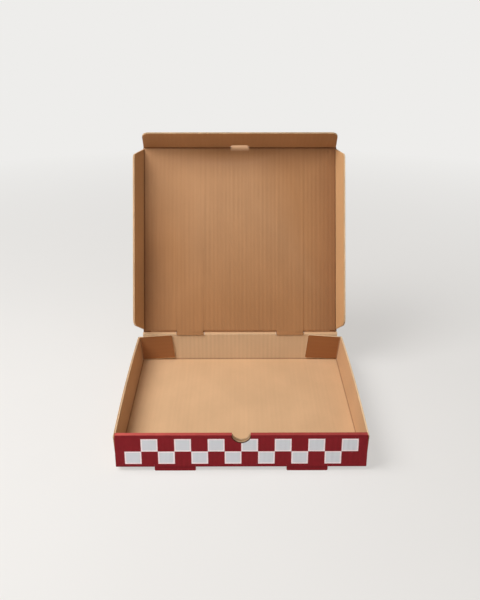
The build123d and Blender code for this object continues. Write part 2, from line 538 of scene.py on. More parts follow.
@dataclass(frozen=True)
class KraftLiner:
    """Brown liner paper, with fibres, faint bands over the flutes, painted shade in its creases and painted
    shade on parts that get less light.
    """

    name: str
    base: Colour = colour(206, 163, 121)
    roughness: float = 0.82
    specular: float = 0.25
    fibres: Grain = Grain((2.6, 0.75, 1.0), 6.0, 0.7, (0.3, 0.72), (0.9, 1.08))
    clouds: Grain = Grain((0.018, 0.011, 1.0), 3.0, 0.5, tones=(0.94, 1.05))
    specks: Grain = Grain((1.1, 0.9, 1.0), 2.0, 0.6, (0.68, 0.76), (1.0, 0.86))
    streaks: Grain = Grain((0.22, 0.004, 1.0), 4.0, 0.6, tones=(0.98, 1.02))
    uneven: Grain = Grain((0.03, 0.02, 1.0), 2.0, 0.5, tones=(0.3, 1.0))
    band_pitch: float = FLUTE_PITCH
    band_strength: float = 0.015
    grazing_light_bands: float = 4.0
    band_relief: float = 0.3
    fibre_relief: float = 0.1
    relief: float = 0.0003
    # Painted shade colour: the creases darken towards it, and on the lid so do the parts by its folds
    fold_shade_colour: Colour = colour(92, 50, 28)
    crease_shade_strength: float = 0.3
    crease_fade: float = 1.4
    upright: float = 0.0
    upright_blend: float = 2.0
    upright_base: Colour = colour(214, 184, 149)
    # Painted shade colour for the corner flaps, the side walls and the tuck flap
    painted_shade: Colour = colour(154, 101, 60)

    def paper(self, shader: NodeMaterial) -> tuple[Signal, Signal]:
        """Build the paper's colour and relief.

        Args:
            shader: The material that the nodes are added to.

        Returns:
            The colour and the height of the relief.
        """
        across, along, flat = shader.flat_board()
        wave = shader.math("SINE", across * (2 * math.pi / self.band_pitch))
        band = wave * shader.tones(flat, self.uneven)
        strength, base = self.band_strength, self.base
        # On the standing back wall the flute bands are stronger: painted shading of the washboard where
        # light grazes the wall. Its base colour is paler than the floor's
        if self.upright:
            standing = along.spread(self.upright, self.upright + self.upright_blend)
            strength = standing * (self.grazing_light_bands * strength) + strength
            base = shader.mix(standing, base, self.upright_base)
        tone = band * strength + 1.0
        for grain in (self.streaks, self.fibres, self.clouds, self.specks):
            tone *= shader.tones(flat, grain)
        # Painted shade: the paper is mixed towards a darker brown where the mesh's share asks for it
        base = shader.mix(shader.attribute("painted_shade"), base, self.painted_shade)
        # Painted shade in the creases: the paper darkens towards each fold
        crease_shading = shader.attribute("crease") ** self.crease_fade * self.crease_shade_strength
        base = shader.mix(crease_shading, base, self.fold_shade_colour)
        relief = band * self.band_relief + shader.noise(flat, self.fibres) * self.fibre_relief
        return shader.scale(base, tone), relief

    def material(self) -> bpy.types.Material:
        """Return the finished material."""
        shader = NodeMaterial(self.name, self.roughness, self.specular)
        return shader.finish(*self.paper(shader), self.relief)


@dataclass(frozen=True)
class LidLiner(KraftLiner):
    """Inner liner of the lid, with painted warm shade low down and at its sides, painted shade by its folds,
    where the flaps shade it, and a painted pool of light by its tab, where light comes through the tuck
    flap's hole.

    Each span gives the two places between which a share grows. One area at the upper left, where the lamp
    lights the lid most, is kept free of the painted shade.
    """

    half_width: float = LID_WIDTH / 2
    length: float = LID_LENGTH
    # Painted shade by the lid's folds, where the flaps shade it
    fade: float = 50.0
    fade_power: float = 1.2
    fold_shade_strength: float = 0.38
    # Upper-left area that the lamp lights most, kept free of the painted shade
    lit_area_across: Point = (-30.0, -125.0)
    lit_area_along: Point = (130.0, 230.0)
    lit_area_strength: float = 0.75
    slant: float = 0.3
    # Painted warm shade: darker and redder low down, at the sides and by the front
    warm_shade_beside: Point = (45.0, 105.0)
    warm_shade_below: Point = (190.0, 40.0)
    warm_shade_from_front: Point = (26.0, 10.0)
    warm_shade_strength: float = 0.9
    warm_shade_tint: Colour = (0.87, 0.79, 0.68, 1.0)
    # Painted pool of light by the tab, where light comes through the tuck flap's hole
    hole_light_colour: Colour = colour(240, 196, 156)
    hole_light_strength: float = 0.75
    hole_light_across: Point = (13.0, 15.0)
    hole_light_from_front: Point = (7.0, 1.0)

    def paper(self, shader: NodeMaterial) -> tuple[Signal, Signal]:
        """Build the paper's colour and relief.

        Args:
            shader: The material that the nodes are added to.

        Returns:
            The colour and the height of the relief.
        """
        tone, relief = super().paper(shader)
        across, along, _ = shader.flat_board()
        from_front = self.length - along
        # Painted light: the upper-left area where the lamp falls keeps the paler tone
        lit_area = across.spread(*self.lit_area_across) * along.spread(*self.lit_area_along)
        outside_lit_area = 1.0 - lit_area * self.lit_area_strength
        # Painted warm shade, growing low down, towards the sides and by the front edge
        slanted = across + (along - self.length / 2) * self.slant
        red = abs(slanted).spread(*self.warm_shade_beside, 0.0, self.warm_shade_strength)
        red = red.highest(from_front.spread(*self.warm_shade_from_front, 0.0, self.warm_shade_strength))
        red = red.highest(along.spread(*self.warm_shade_below)) * outside_lit_area
        tone = shader.mix(red, tone, self.warm_shade_tint, "MULTIPLY")
        # Painted shade by the side and front folds
        side = abs(across).spread(self.half_width - self.fade, self.half_width)
        fold_shade = side.highest(from_front.spread(self.fade, 0.0)) ** self.fade_power * outside_lit_area
        tone = shader.mix(fold_shade * self.fold_shade_strength, tone, self.fold_shade_colour)
        # Painted light by the tab, below the tuck flap's hole
        hole_light = abs(across).spread(*self.hole_light_across, self.hole_light_strength, 0.0)
        return shader.mix(hole_light * from_front.spread(*self.hole_light_from_front), tone, self.hole_light_colour), relief


@dataclass(frozen=True)
class PrintedLiner(KraftLiner):
    """Outer liner of the tray: bare paper, and a red and white chequer printed on the front."""

    roughness: float = 0.72
    specular: float = 0.15
    cover: Grain = Grain((3.2, 1.6, 1.0), 5.0, 0.65, (0.35, 0.8), (1.0, 0.93))
    mottle: Grain = Grain((0.12, 0.09, 1.0), 3.0, 0.5, tones=(0.93, 1.06))
    wobble: Grain = Grain((0.9, 0.9, 1.0), 4.0, 0.6, (0.0, 1.0), (-0.22, 0.22))
    red: Colour = colour(131, 13, 32)
    white: Colour = colour(220, 226, 234)
    white_edge: Colour = colour(255, 240, 245)
    halo: float = 1.6
    rim: Colour = colour(60, 28, 16)
    # Paler red of the rolled strip: partly wear of the ink on the roll, and partly painted light, palest at
    # the left end where the lamp falls
    worn_and_lit_red: Colour = colour(232, 110, 100)
    strip_wear_and_light: Point = (0.61, 0.3)
    wear_and_light_span: Point = (-135.0, 10.0)
    crease_span: Point = (0.3, 1.0)
    crease_shade: Point = (1.0, 0.72)
    strip_front: float = -192.8
    print_top: float = -202.5
    print_bottom: float = -147.3
    ear_bottom: float = -142.0
    ear_centre: float = WALL_EAR_CENTRE
    ear_half: float = 25.2
    period: float = 40.35
    lower_start: float = -141.0
    upper_start: float = -121.0
    repeats: int = 7
    row_height: float = 17.4
    lower_edge: float = 5.0
    fold: float = -TRAY_DEPTH / 2
    notch_centre: float = NOTCH_HEIGHT
    notch_reach: float = 12.95
    notch_top: float = 43.6

    def squares(self, across: Signal, height: Signal, inset: float) -> Signal:
        """Find the white squares of both rows.

        Args:
            across: Place across the front wall.
            height: Height above its foot.
            inset: How much smaller the squares are taken all round.

        Returns:
            1 on a square and 0 elsewhere.
        """
        share = inset / self.period
        upper_edge = self.lower_edge + self.row_height
        rows = []
        for start, low in ((self.lower_start, self.lower_edge), (self.upper_start, upper_edge)):
            turns = (across - start) * (1 / self.period)
            square = across.nodes.math("FRACT", turns).within(share, 0.5 - share)
            row = height.within(low + inset, low + self.row_height - inset)
            rows.append(square * row * turns.within(0.0, self.repeats))
        return rows[0].highest(rows[1])

    def material(self) -> bpy.types.Material:
        """Build the material.

        Returns:
            The finished material.
        """
        shader = NodeMaterial(self.name, self.roughness, self.specular)
        tone, relief = self.paper(shader)
        across, along, flat = shader.flat_board()
        shift = shader.tones(flat, self.wobble)
        across = across + shift
        along = along - shift
        height = self.fold - along
        ear = abs(abs(across) - self.ear_centre).below(self.ear_half)
        ear = ear * along.within(self.print_top, self.ear_bottom)
        printed = along.within(self.print_top, self.print_bottom).highest(ear)
        # Ink wear and painted light: the strip is paler, most at its left end
        wear_and_light = across.spread(*self.wear_and_light_span, *self.strip_wear_and_light)
        wear_and_light = wear_and_light * along.within(self.print_top, self.strip_front)
        red = shader.scale(shader.mix(wear_and_light, self.red, self.worn_and_lit_red), shader.tones(flat, self.mottle))
        white = shader.mix(self.squares(across, height, self.halo), self.white_edge, self.white)
        ink = shader.mix(self.squares(across, height, 0.0), red, white)
        # Painted shade at the creases: the print darkens along the roll's folds and just below the strip
        crease_shading = shader.attribute("crease").spread(*self.crease_span, *self.crease_shade)
        ink = shader.scale(ink, crease_shading)
        drop = height - self.notch_centre
        from_notch = shader.math("SQRT", drop * drop + across * across)
        by_notch = from_notch.below(self.notch_reach) * height.below(self.notch_top)
        ink = shader.mix(by_notch, ink, self.rim)
        cover = printed * shader.tones(flat, self.cover)
        return shader.finish(shader.mix(cover, tone, ink), relief, self.relief)


@dataclass(frozen=True)
class BareKraft:
    """Raw paper without a printed or pressed face, as on the core and along a cut."""

    name: str
    base: Colour
    roughness: float = 0.95
    specular: float = 0.15
    fibres: Grain = Grain((2.4, 2.4, 2.4), 5.0, 0.7, tones=(0.82, 1.12))
    clouds: Grain = Grain((0.05, 0.05, 0.05), 2.0, 0.5)
    relief: float = 0.0001

    def material(self) -> bpy.types.Material:
        """Build the material.

        Returns:
            The finished material.
        """
        shader = NodeMaterial(self.name, self.roughness, self.specular)
        place = shader.scale(shader.signal("ShaderNodeTexCoord", {}, "Object"), 1 / MM)
        tone = shader.tones(place, self.fibres) * shader.tones(place, self.clouds)
        tone = shader.scale(self.base, tone)
        return shader.finish(tone, shader.noise(place, self.fibres), self.relief)


class Finishes:
    """The papers of the box, each made once."""

    def __init__(self) -> None:
        """Make the papers."""
        self.printed = PrintedLiner("printed_liner").material()
        self.outer = KraftLiner("outer_liner").material()
        self.inner = KraftLiner(
            "inner_liner",
            colour(215, 177, 137),
            relief=0.00005,
            band_strength=0.008,
            upright=TRAY_DEPTH / 2,
            # Painted shade along the folds inside the tray
            fold_shade_colour=colour(118, 62, 24),
            crease_shade_strength=0.95,
        ).material()
        self.lid_inner = LidLiner(
            "lid_inner_liner",
            colour(179, 136, 98),
            band_strength=0.022,
            streaks=Grain((0.22, 0.004, 1.0), 4.0, 0.6, tones=(0.945, 1.055)),
            crease_shade_strength=0.75,
        ).material()
        self.flap_inner = KraftLiner(
            "flap_inner_liner", colour(200, 156, 111), crease_shade_strength=0.75
        ).material()
        # The groove strip inside the flaps' folds is darker all over: painted shade in the fold's groove
        self.groove = KraftLiner(
            "groove_liner", colour(168, 116, 72), fold_shade_colour=colour(88, 40, 14), crease_shade_strength=1.0
        ).material()
        self.core = BareKraft("fluted_core", colour(242, 216, 178)).material()
        self.cut = BareKraft("cut_edge", colour(222, 190, 154)).material()


@dataclass
class PieceMesh:
    """A mesh in the making, with the place of each vertex on the flat board and the finish of each face."""

    name: str
    sharp_degrees: float
    vertices: list[Vector] = field(default_factory=list)
    flat: list[Point] = field(default_factory=list)
    faces: list[Sequence[int]] = field(default_factory=list)
    parts: list[int] = field(default_factory=list)

    def add_vertex(self, place: Vector, u: float, v: float) -> None:
        """Add a vertex: its place in the model and on the flat board, in millimetres."""
        self.vertices.append(place * MM)
        self.flat.append((u * MM, v * MM))

    def add_face(self, corners: Sequence[int], part: int) -> None:
        """Add a face with the number of its finish."""
        self.faces.append(corners)
        self.parts.append(part)

    def build(self, shares: dict[str, Share], papers: Papers) -> bpy.types.Object:
        """Build the piece.

        Args:
            shares: What a finish reads at each vertex: a value from 0 to 1 for a place (u, v).
            papers: Finishes in the order of the faces' numbers.

        Returns:
            The new piece, with its place in its mesh.
        """
        mesh = bpy.data.meshes.new(self.name)
        mesh.from_pydata(self.vertices, [], self.faces)
        sheet = bmesh.new()
        sheet.from_mesh(mesh)
        bmesh.ops.recalc_face_normals(sheet, faces=sheet.faces)
        sheet.to_mesh(mesh)
        sheet.free()
        mesh.polygons.foreach_set("material_index", self.parts)
        mesh.polygons.foreach_set("use_smooth", [True] * len(mesh.polygons))
        mesh.set_sharp_from_angle(angle=math.radians(self.sharp_degrees))
        corners = [axis for loop in mesh.loops for axis in self.flat[loop.vertex_index]]
        mesh.uv_layers.new(name="flat").data.foreach_set("uv", corners)
        for name, share in shares.items():
            values = [share(u / MM, v / MM) for u, v in self.flat]
            mesh.attributes.new(name, "FLOAT", "POINT").data.foreach_set("value", values)
        for paper in papers:
            mesh.materials.append(paper)
        mesh.update()
        piece = bpy.data.objects.new(self.name, mesh)
        bpy.context.scene.collection.objects.link(piece)
        return piece


@dataclass
class Panel:
    """Board that is cut flat and folded up."""

    board: Board
    sharp_degrees: ClassVar[float] = 38.0

    def place(self, u: float, v: float, n: float) -> Vector:
        """Return where a point of the flat board goes."""
        raise NotImplementedError

    def from_fold(self, u: float, v: float) -> float:
        """Return how far a point of the flat board is from the nearest fold."""
        raise NotImplementedError

    def crease(self, u: float, v: float) -> float:
        """Return how much of a crease there is at a point, from 0 to 1."""
        return 1 - self.board.squeeze(self.from_fold(u, v))

    def painted_shade(self, u: float, v: float) -> float:
        """Return how much painted shade the board gets at a point, from 0 to 1."""
        return 0.0

    def layer(self, sheet: PieceMesh, cells: Cells, depths: Depths, sides: tuple[Face, Face]) -> None:
        """Add one closed layer of the board.

        Args:
            sheet: The mesh that it is added to.
            cells: The points and the faces of its grid.
            depths: Depth of its outer and of its inner side at a place across.
            sides: Finishes of its outer and of its inner side.
        """
        points, faces = cells
        first = len(sheet.vertices)
        second = first + len(points)
        for side in (0, 1):
            for u, v in points:
                sheet.add_vertex(self.place(u, v, depths(u)[side]), u, v)
        borders = set()
        for face in faces:
            for start, end in zip(face, face[1:] + face[:1]):
                if (end, start) in borders:
                    borders.remove((end, start))
                else:
                    borders.add((start, end))
            sheet.add_face([first + k for k in reversed(face)], sides[0].value)
            sheet.add_face([second + k for k in face], sides[1].value)
        for start, end in sorted(borders):
            sheet.add_face([first + start, first + end, second + end, second + start], Face.CUT.value)

    def build_sheet(self, name: str, blank: Blank, papers: Papers) -> bpy.types.Object:
        """Build the two liners and the core between them.

        Args:
            name: Name of the piece.
            blank: Its flat shape.
            papers: Finishes in the order of Face.

        Returns:
            The new piece.
        """
        board = self.board
        sheet = PieceMesh(name, self.sharp_degrees)
        cells = blank.cells(blank.columns)
        inner = (board.thickness - board.liner, board.thickness)
        self.layer(sheet, cells, lambda u: (0.0, board.liner), (Face.OUTER, Face.CORE))
        self.layer(sheet, cells, lambda u: inner, (Face.CORE, Face.INNER))
        cells = blank.cells([*blank.columns, *board.flute_lines(*blank.span())])
        self.layer(sheet, cells, board.core_depths, (Face.CORE, Face.CORE))
        return sheet.build({"crease": self.crease, "painted_shade": self.painted_shade}, papers)


@dataclass
class Tray(Panel):
    """Base, walls, rolled front and corner flaps, folded from one blank."""

    width: float = 305.0
    depth: float = TRAY_DEPTH
    front_height: float = 44.7
    strip_depth: float = 7.8
    panel_bottom: float = 2.65
    hinge_height: float = HINGE_HEIGHT
    back_width: float = 299.0
    side_height: float = 40.5
    lean_front: float = 2.0
    lean_rear: float = 4.3
    bow: float = 1.75
    strip_width: float = 304.5
    strip_margin: float = 1.0
    panel_width: float = 297.0
    flap_line: float = 144.85
    flap_corner: float = 2.0
    front_flap_length: float = 50.5
    front_flap_height: float = 36.0
    front_rise: float = 1.5
    rear_flap_length: float = 51.8
    rear_flap_drop: float = 1.8
    rear_rise: float = 4.3
    ear_centre: float = WALL_EAR_CENTRE
    ear_width: float = 50.3
    ear_length: float = 4.7
    ear_root: float = 4.0
    ear_corner: float = 1.5
    slot_end: float = -139.3
    kerf: float = 0.12
    tab_width: float = 46.0
    tab_length: float = 4.7
    tab_chamfer: float = 2.0
    notch_radius: float = 11.41
    notch_height: float = NOTCH_HEIGHT
    lid_ear_centre: float = LID_EAR_CENTRE
    lid_notch_width: float = 43.5
    lid_notch_depth: float = 4.9
    corner_cut: float = 0.5
    corner_steps: int = 3
    notch_steps: int = 20
    side_reach: float = 9.0
    crease_reach: float = 3.8
    # Share of the painted shade on the side walls
    wall_shade: float = 0.25
    row_spacing: float = 24.0

    def __post_init__(self) -> None:
        """Work out the profiles that the sheet is folded along."""
        half = self.depth / 2
        wall = self.width / 2
        high = 2 * self.side_height
        inner = -half + self.strip_depth
        front = [(inner, self.panel_bottom), (inner, self.front_height), (-half, self.front_height)]
        base = [(-half, 0.0), (half, 0.0), (half, self.hinge_height)]
        start = -half - 2 * self.front_height - self.strip_depth + self.panel_bottom
        self.roll = FoldedProfile([*front, *base], start)
        self.side = FoldedProfile([(0.0, 0.0), (wall, 0.0), (wall, high)])
        self.end = FoldedProfile([(0.0, 0.0), (self.flap_line, 0.0), (self.flap_line, high)])
        self.bend = self.roll.outer_radius

    def outline(self) -> list[Point]:
        """Draw the right half of the blank, from the back wall's top to the lock tab.

        Returns:
            The points of the outline.
        """
        half = self.depth / 2
        wall = self.width / 2
        top = wall + self.side_height
        lid_top = half + self.hinge_height - FOLD_GAP
        notch_low = half + self.hinge_height - self.lid_notch_depth
        notch_in = self.lid_ear_centre - self.lid_notch_width / 2
        notch_out = self.lid_ear_centre + self.lid_notch_width / 2
        rear_end = self.flap_line + self.rear_flap_length
        front_end = -self.flap_line - self.front_flap_length
        flap_low = wall + self.panel_bottom
        rear_low = flap_low - self.rear_flap_drop
        front_top = wall + self.front_flap_height
        wall_top = -half - self.front_height
        panel_top = wall_top - self.strip_depth
        panel_end = self.roll.start
        panel = self.panel_width / 2
        strip = self.strip_width / 2
        tab_in = self.ear_centre - self.tab_width / 2
        tab_out = self.ear_centre + self.tab_width / 2
        tab_end = panel_end - self.tab_length
        rear = [(flap_low, half), (rear_low, rear_end), (top, rear_end), (top, half)]
        front = [(front_top, -half), (front_top, front_end), (flap_low, front_end), (flap_low, -half)]
        radii = (self.flap_corner, self.flap_corner)
        return [
            (notch_in, lid_top),
            (notch_in, notch_low),
            (notch_out, notch_low),
            (notch_out, lid_top),
            (self.back_width / 2, lid_top),
            (self.back_width / 2, half - self.bend),
            (wall - self.bend, self.flap_line),
            (flap_low, self.flap_line + FOLD_GAP),
            *round_corners(rear, radii, self.corner_steps),
            (top, self.flap_line),
            (top, -self.flap_line),
            (front_top, -self.flap_line - FOLD_GAP),
            *round_corners(front, radii, self.corner_steps),
            (flap_low, -self.flap_line - FOLD_GAP),
            (wall - self.bend, -self.flap_line),
            (wall - self.bend, -half + self.bend),
            (wall - self.corner_cut, -half),
            (wall, -half - self.bend),
            (wall, wall_top + self.bend),
            (strip, wall_top + self.strip_margin),
            (strip, panel_top + self.strip_margin),
            (panel, panel_top - self.strip_margin),
            (panel, panel_end),
            (tab_out, panel_end),
            (tab_out, tab_end + self.tab_chamfer),
            (tab_out - self.tab_chamfer, tab_end),
            (tab_in + self.tab_chamfer, tab_end),
            (tab_in, tab_end + self.tab_chamfer),
            (tab_in, panel_end),
        ]

    def slot(self, side: int) -> list[Point]:
        """Draw the hole left by one ear.

        Args:
            side: 1 on the right and -1 on the left.

        Returns:
            The points of the hole.
        """
        low = self.ear_centre - self.ear_width / 2
        high = self.ear_centre + self.ear_width / 2
        root = -self.depth / 2 - self.ear_root
        tip = -self.depth / 2 + self.ear_length
        left = low + self.kerf
        right = high - self.kerf
        ear = [(left, root), (left, tip), (right, tip), (right, root)]
        ear = round_corners(ear, (self.ear_corner,) * 2, self.corner_steps)
        hole = [(low, root), (low, self.slot_end), (high, self.slot_end), (high, root)]
        return [(side * u, v) for u, v in [*hole, (right, root), *reversed(ear), (left, root)]]

    def notch(self) -> list[Point]:
        """Draw the thumb notch, which runs through the front wall, its top and its inner panel.

        Returns:
            The points of the notch.
        """
        wall_top = -self.depth / 2 - self.front_height
        panel_top = wall_top - self.strip_depth
        rise = self.notch_height - self.front_height
        first = math.degrees(math.asin(-rise / self.notch_radius))
        lower = (0.0, wall_top - rise)
        upper = (0.0, panel_top + rise)
        front = arc(lower, self.notch_radius, -first, 180 + first, self.notch_steps)
        inner = arc(upper, self.notch_radius, 180 - first, 360 + first, self.notch_steps)
        return [*front, *inner]

    def lean(self, y: float) -> float:
        """Find how far the top of a side wall leans out.

        Args:
            y: Place from front to back.

        Returns:
            The lean in millimetres.
        """
        share = clamp(y / self.flap_line, -1)
        straight = (self.lean_rear + self.lean_front) / 2 + (self.lean_rear - self.lean_front) / 2 * share
        return straight + self.bow * (1 - share * share)

    def place(self, u: float, v: float, n: float) -> Vector:
        """Return where a point of the flat blank goes in the folded tray.

        Args:
            u: Place across the flutes.
            v: Place along the flutes.
            n: Depth below the outer face.

        Returns:
            The point of the folded tray.
        """
        across = abs(u)
        half = self.depth / 2
        wall = self.width / 2
        thick = self.board.thickness
        in_ear = abs(across - self.ear_centre) < (self.ear_width - self.kerf) / 2
        if in_ear and -self.ear_root - self.kerf / 2 < v + half < self.ear_length + self.kerf / 2:
            return Vector((u, -half + n, -v - half))
        if across < wall - self.bend:
            n *= self.board.squeeze(half + self.hinge_height - v)
        if across < wall - self.side_reach or (across <= wall and abs(v) > self.flap_line + FOLD_GAP):
            y, z = self.roll.point(v, n)
            return Vector((u, y, z))
        x, z = self.side.point(across, n)
        y, inset = self.end.point(abs(v), n)
        y = math.copysign(y, v)
        if across <= wall - self.bend:
            inset = n
            y = v
        x += n - inset + self.lean(y) * max(0.0, z - thick) / (self.side_height - thick)
        rise = self.rear_rise if v > 0 else self.front_rise
        z += max(0.0, inset - thick) * math.sin(math.radians(rise))
        return Vector((math.copysign(x, u), y, z))

    def crease(self, u: float, v: float) -> float:
        """Find how much of a crease there is at a point.

        Args:
            u: Place across the flutes.
            v: Place along the flutes.

        Returns:
            A share from 0 to 1.
        """
        beside = abs(u) - self.width / 2
        distances = [abs(beside)] if abs(v) < self.flap_line else [self.crease_reach]
        if beside < 1:
            distances += [abs(v - fold) for fold in self.roll.folds]
        if beside > 2:
            distances.append(abs(abs(v) - self.flap_line))
        return 1 - clamp(min(distances) / self.crease_reach)

    def painted_shade(self, u: float, v: float) -> float:
        """Find how much painted shade the board gets: full on the corner flaps, and a share of it on the
        side walls.

        Args:
            u: Place across the flutes.
            v: Place along the flutes.

        Returns:
            A share from 0 to 1.
        """
        beyond = abs(v) - self.flap_line - 1.0
        beside = abs(u) - self.width / 2
        flap = ease(beyond / self.board.thickness)
        return max(flap, self.wall_shade * ease(beside / 2)) if beside > 0 else 0.0

    def build(self, finishes: Finishes) -> bpy.types.Object:
        """Build the tray and put it in the place of its node.

        Args:
            finishes: The papers of the box.

        Returns:
            The new piece.
        """
        half = self.depth / 2
        right = self.outline()
        outline = [*reversed([(-u, v) for u, v in right]), *right]
        spaced = [k * self.row_spacing for k in range(int(half / self.row_spacing))]
        crushed = [half + self.hinge_height - step for step in self.board.crush_steps]
        blank = Blank(
            [outline, self.slot(1), self.slot(-1), self.notch()],
            [*self.roll.rows(), *crushed, *both_ways([*self.end.rows(), *spaced])],
            both_ways([*self.side.rows(), self.width / 2 - self.side_reach]),
        )
        papers = [finishes.printed, finishes.inner, finishes.core, finishes.cut]
        piece = self.build_sheet("tray_board", blank, papers)
        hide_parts("tray")
        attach(piece, "tray")
        return piece


@dataclass
class Lid(Panel):
    """Panel of the lid, with its thumb tab and the two ears at its hinge."""

    width: float = LID_WIDTH
    length: float = LID_LENGTH
    lean_degrees: float = 22.0
    ear_centre: float = LID_EAR_CENTRE
    ear_width: float = 42.9
    ear_length: float = 4.7
    ear_corner: float = 1.5
    tab_width: float = 28.5
    tab_length: float = 8.0
    tab_corner: float = 5.0
    ear_corner_steps: int = 3
    tab_corner_steps: int = 6
    ease_steps: tuple[float, ...] = (0.8, 1.6, 2.5)

    def __post_init__(self) -> None:
        """Work out the hinge and the directions of the open lid."""
        lean = math.radians(self.lean_degrees)
        self.hinge = Vector((0, TRAY_DEPTH / 2, HINGE_HEIGHT))
        self.up = Vector((0, math.sin(lean), math.cos(lean)))
        self.inward = Vector((0, -math.cos(lean), math.sin(lean)))
        self.across = Vector((1, 0, 0))

    def outline(self) -> list[Point]:
        """Draw the panel, anticlockwise from the hinge's left end.

        Returns:
            The points of the outline.
        """
        half = self.width / 2 - FOLD_GAP
        end = self.length - FOLD_GAP
        tip = self.length + self.tab_length
        tab = self.tab_width / 2
        points = [(-half, FOLD_GAP)]
        for centre in (-self.ear_centre, self.ear_centre):
            low = centre - self.ear_width / 2
            high = centre + self.ear_width / 2
            ear = [(low, 0), (low, -self.ear_length), (high, -self.ear_length), (high, 0)]
            ear = round_corners(ear, (self.ear_corner,) * 2, self.ear_corner_steps)
            points += [(low, FOLD_GAP), *ear, (high, FOLD_GAP)]
        points += [(half, FOLD_GAP), (half, end), (tab, end)]
        thumb_tab = [(tab, end), (tab, tip), (-tab, tip), (-tab, end)]
        points += round_corners(thumb_tab, (self.tab_corner,) * 2, self.tab_corner_steps)
        points += [(-tab, end), (-half, end)]
        return points

    def from_fold(self, u: float, v: float) -> float:
        """Find how far a point of the panel is from the nearest fold.

        Args:
            u: Place across the flutes.
            v: Place along the flutes.

        Returns:
            The distance, longer at the ears and the tab.
        """
        reach = self.ease_steps[-1]
        spare = self.board.crush_reach
        in_ear = ease((self.ear_width / 2 - abs(abs(u) - self.ear_centre)) / reach)
        in_tab = ease((self.tab_width / 2 - abs(u)) / reach)
        hinge = spare if v < 0 else v + spare * in_ear
        front = spare if v > self.length else self.length - v + spare * in_tab
        return min(hinge, front, self.width / 2 - abs(u))

    def place(self, u: float, v: float, n: float) -> Vector:
        """Return where a point of the flat panel goes on the open lid."""
        depth = n * self.board.squeeze(self.from_fold(u, v))
        return self.hinge + self.across * u + self.up * v + self.inward * depth

    def build(self, finishes: Finishes) -> bpy.types.Object:
        """Build the lid and put it in the place of its node.

        Args:
            finishes: The papers of the box.

        Returns:
            The new piece.
        """
        crushed = self.board.crush_steps
        columns = [self.width / 2 - step for step in crushed]
        for step in self.ease_steps:
            ear = self.ear_width / 2 - step
            columns += [self.ear_centre - ear, self.ear_centre + ear, self.tab_width / 2 - step]
        rows = [*crushed, *[self.length - step for step in crushed]]
        blank = Blank([self.outline()], rows, both_ways(columns))
        papers = [finishes.outer, finishes.lid_inner, finishes.core, finishes.cut]
        piece = self.build_sheet("lid_board", blank, papers)
        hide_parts("lid")
        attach(piece, "lid")
        return piece


@dataclass
class Flap(Panel):
    """Flap of the lid, which turns about one edge of the lid's panel."""

    lid: Lid
    fold_degrees: float
    corner_steps: ClassVar[int] = 8

    def aim(self, out: Vector, root: Vector) -> None:
        """Work out which way the flap and its inner face point.

        Args:
            out: Direction in the lid's plane, away from the panel.
            root: A point on the fold.
        """
        fold = math.radians(self.fold_degrees)
        self.root = root
        self.reach = out * math.cos(fold) + self.lid.inward * math.sin(fold)
        self.inner = self.lid.inward * math.cos(fold) - out * math.sin(fold)

    def from_root(self, along: Vector, distance: float, n: float) -> Vector:
        """Return a point of the flap.

        Args:
            along: How far it is along the fold.
            distance: Its distance from the fold.
            n: Its depth below the outer face of whole board.

        Returns:
            The point on the open lid.
        """
        depth = n * self.board.squeeze(distance)
        return self.root + along + self.reach * distance + self.inner * depth


@dataclass
class SideFlap(Flap):
    """Flap along one side of the lid: side is 1 on the right and -1 on the left."""

    side: int
    body: str
    depth: float = 38.0
    rear_start: float = 4.2
    rear_taper: float = 12.0
    rear_corner: float = 11.0
    front_gap: float = 3.0
    front_taper: float = 21.5
    front_corner: float = 8.0

    def __post_init__(self) -> None:
        """Work out which way the flap and its inner face point."""
        out = self.lid.across * self.side
        self.aim(out, self.lid.hinge + out * (self.lid.width / 2))

    def outline(self) -> list[Point]:
        """Draw the flap.

        Returns:
            Points as (distance from the fold, place along it).
        """
        rear = self.rear_start
        front = self.lid.length - self.front_gap
        rear_tip = (self.depth, rear + self.depth * math.tan(math.radians(self.rear_taper)))
        front_tip = (self.depth, front - self.depth * math.tan(math.radians(self.front_taper)))
        edge = [(0, rear), rear_tip, front_tip, (0, front)]
        tips = round_corners(edge, (self.rear_corner, self.front_corner), self.corner_steps)
        return [(FOLD_GAP, rear), *tips, (FOLD_GAP, front)]

    def from_fold(self, u: float, v: float) -> float:
        """Return how far a point of the flap is from its fold."""
        return abs(u) - self.lid.width / 2

    def place(self, u: float, v: float, n: float) -> Vector:
        """Return where a point of the flat flap goes."""
        return self.from_root(self.lid.up * v, self.from_fold(u, v), n)

    def build(self, name: str, finishes: Finishes) -> bpy.types.Object:
        """Build the flap and put it in the place of its node.

        Args:
            name: Name of the node.
            finishes: The papers of the box.

        Returns:
            The new piece.
        """
        root = self.lid.width / 2
        outline = [(self.side * (root + distance), v) for distance, v in self.outline()]
        columns = [self.side * (root + step) for step in self.board.crush_steps]
        papers = [finishes.outer, finishes.flap_inner, finishes.core, finishes.cut]
        piece = self.build_sheet(f"{name}_board", Blank([outline], [], columns), papers)
        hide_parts(name)
        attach(piece, self.body)
        return piece


